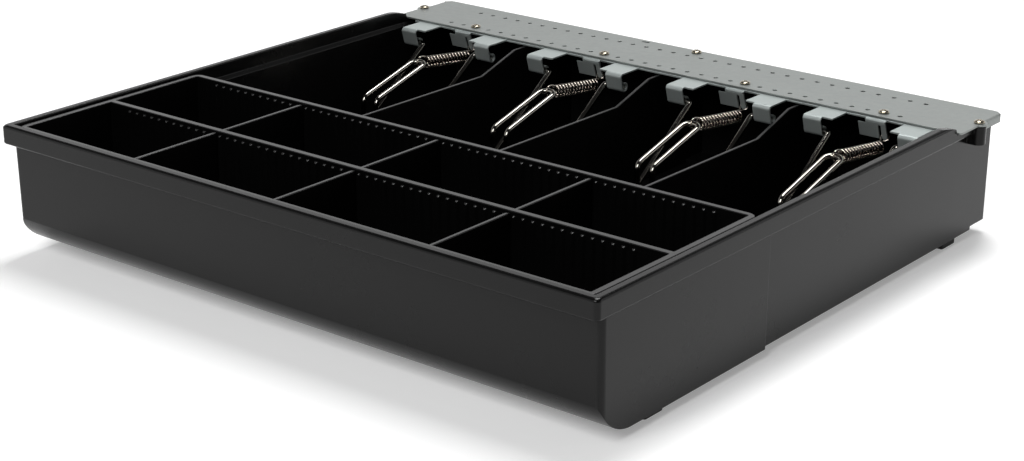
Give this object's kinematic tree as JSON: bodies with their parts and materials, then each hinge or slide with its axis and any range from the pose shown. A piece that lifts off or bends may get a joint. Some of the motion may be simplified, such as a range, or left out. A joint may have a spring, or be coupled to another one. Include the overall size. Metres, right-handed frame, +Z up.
{
  "type": "cash register tray",
  "caption": "Cash drawer tray with a lift-out coin insert, adjustable dividers and sprung wire note clips under a perforated steel cover plate.",
  "frame": {"origin": "on the surface that the tray stands on, under the middle of its outer box", "axes": "+Z up, -Y towards the coin insert's side (the front), +X to the right seen from the front"},
  "size_m": [0.405, 0.3694, 0.075],
  "materials": {
    "body_abs": "black moulded ABS, fine satin grain",
    "insert_abs": "black moulded ABS, satin",
    "rubber": "black moulded rubber",
    "zinc_plate": "zinc-plated sheet steel, dull",
    "bracket_steel": "zinc-plated sheet steel, satin",
    "clip_wire": "bright chromed steel wire",
    "spring_wire": "nickelled spring wire",
    "screw": "nickelled steel"
  },
  "bodies": {
    "tray": {"tray_body": "body_abs", "foot_front_left": "rubber", "foot_front_right": "rubber", "foot_back_left": "rubber", "foot_back_right": "rubber", "cover_plate": "zinc_plate", "clip_bracket": "bracket_steel", "bracket_screw_1": "screw", "bracket_screw_2": "screw", "bracket_screw_3": "screw", "bracket_screw_4": "screw", "end_screw_left": "screw", "end_screw_right": "screw", "back_screw": "screw"},
    "coin_insert": {"coin_tray": "insert_abs"},
    "divider_front_left": {"coin_divider_front_left": "insert_abs"},
    "divider_front_centre": {"coin_divider_front_centre": "insert_abs"},
    "divider_front_right": {"coin_divider_front_right": "insert_abs"},
    "divider_back_left": {"coin_divider_back_left": "insert_abs"},
    "divider_back_centre": {"coin_divider_back_centre": "insert_abs"},
    "divider_back_right": {"coin_divider_back_right": "insert_abs"},
    "clip_1": {"note_clip_1": "clip_wire"},
    "clip_2": {"note_clip_2": "clip_wire"},
    "clip_3": {"note_clip_3": "clip_wire"},
    "clip_4": {"note_clip_4": "clip_wire"},
    "spring_1": {"clip_spring_1": "spring_wire"},
    "spring_2": {"clip_spring_2": "spring_wire"},
    "spring_3": {"clip_spring_3": "spring_wire"},
    "spring_4": {"clip_spring_4": "spring_wire"}
  },
  "joints": [
    {"name": "coin_insert_lift", "type": "slide", "parent": "tray", "child": "coin_insert", "axis": [0, 0, 1], "range_m": [0, 0.1]},
    {"name": "divider_front_left_lift", "type": "slide", "parent": "coin_insert", "child": "divider_front_left", "axis": [0, 0, 1], "range_m": [0, 0.07]},
    {"name": "divider_front_centre_lift", "type": "slide", "parent": "coin_insert", "child": "divider_front_centre", "axis": [0, 0, 1], "range_m": [0, 0.07]},
    {"name": "divider_front_right_lift", "type": "slide", "parent": "coin_insert", "child": "divider_front_right", "axis": [0, 0, 1], "range_m": [0, 0.07]},
    {"name": "divider_back_left_lift", "type": "slide", "parent": "coin_insert", "child": "divider_back_left", "axis": [0, 0, 1], "range_m": [0, 0.07]},
    {"name": "divider_back_centre_lift", "type": "slide", "parent": "coin_insert", "child": "divider_back_centre", "axis": [0, 0, 1], "range_m": [0, 0.07]},
    {"name": "divider_back_right_lift", "type": "slide", "parent": "coin_insert", "child": "divider_back_right", "axis": [0, 0, 1], "range_m": [0, 0.07]},
    {"name": "clip_1_lift", "type": "hinge", "parent": "tray", "child": "clip_1", "pos_m": [-0.1455, 0.12047, 0.0599], "axis": [-1, 0, 0], "range_deg": [0, 92]},
    {"name": "clip_2_lift", "type": "hinge", "parent": "tray", "child": "clip_2", "pos_m": [-0.0453, 0.12047, 0.0599], "axis": [-1, 0, 0], "range_deg": [0, 92]},
    {"name": "clip_3_lift", "type": "hinge", "parent": "tray", "child": "clip_3", "pos_m": [0.0566, 0.12047, 0.0599], "axis": [-1, 0, 0], "range_deg": [0, 92]},
    {"name": "clip_4_lift", "type": "hinge", "parent": "tray", "child": "clip_4", "pos_m": [0.148, 0.12047, 0.0599], "axis": [-1, 0, 0], "range_deg": [0, 92]},
    {"name": "spring_1_swing", "type": "hinge", "parent": "tray", "child": "spring_1", "pos_m": [-0.1403, 0.13622, 0.058], "axis": [-1, 0, 0], "range_deg": [0, 58.8], "deforming": ["clip_spring_1"]},
    {"name": "spring_2_swing", "type": "hinge", "parent": "tray", "child": "spring_2", "pos_m": [-0.0401, 0.13622, 0.058], "axis": [-1, 0, 0], "range_deg": [0, 58.8], "deforming": ["clip_spring_2"]},
    {"name": "spring_3_swing", "type": "hinge", "parent": "tray", "child": "spring_3", "pos_m": [0.0618, 0.13622, 0.058], "axis": [-1, 0, 0], "range_deg": [0, 58.8], "deforming": ["clip_spring_3"]},
    {"name": "spring_4_swing", "type": "hinge", "parent": "tray", "child": "spring_4", "pos_m": [0.1532, 0.13622, 0.058], "axis": [-1, 0, 0], "range_deg": [0, 58.8], "deforming": ["clip_spring_4"]}
  ],
  "couplings": [
    {"joint": "spring_1_swing", "follows": "clip_1_lift", "ratio": 0.639},
    {"joint": "spring_2_swing", "follows": "clip_2_lift", "ratio": 0.639},
    {"joint": "spring_3_swing", "follows": "clip_3_lift", "ratio": 0.639},
    {"joint": "spring_4_swing", "follows": "clip_4_lift", "ratio": 0.639}
  ]
}
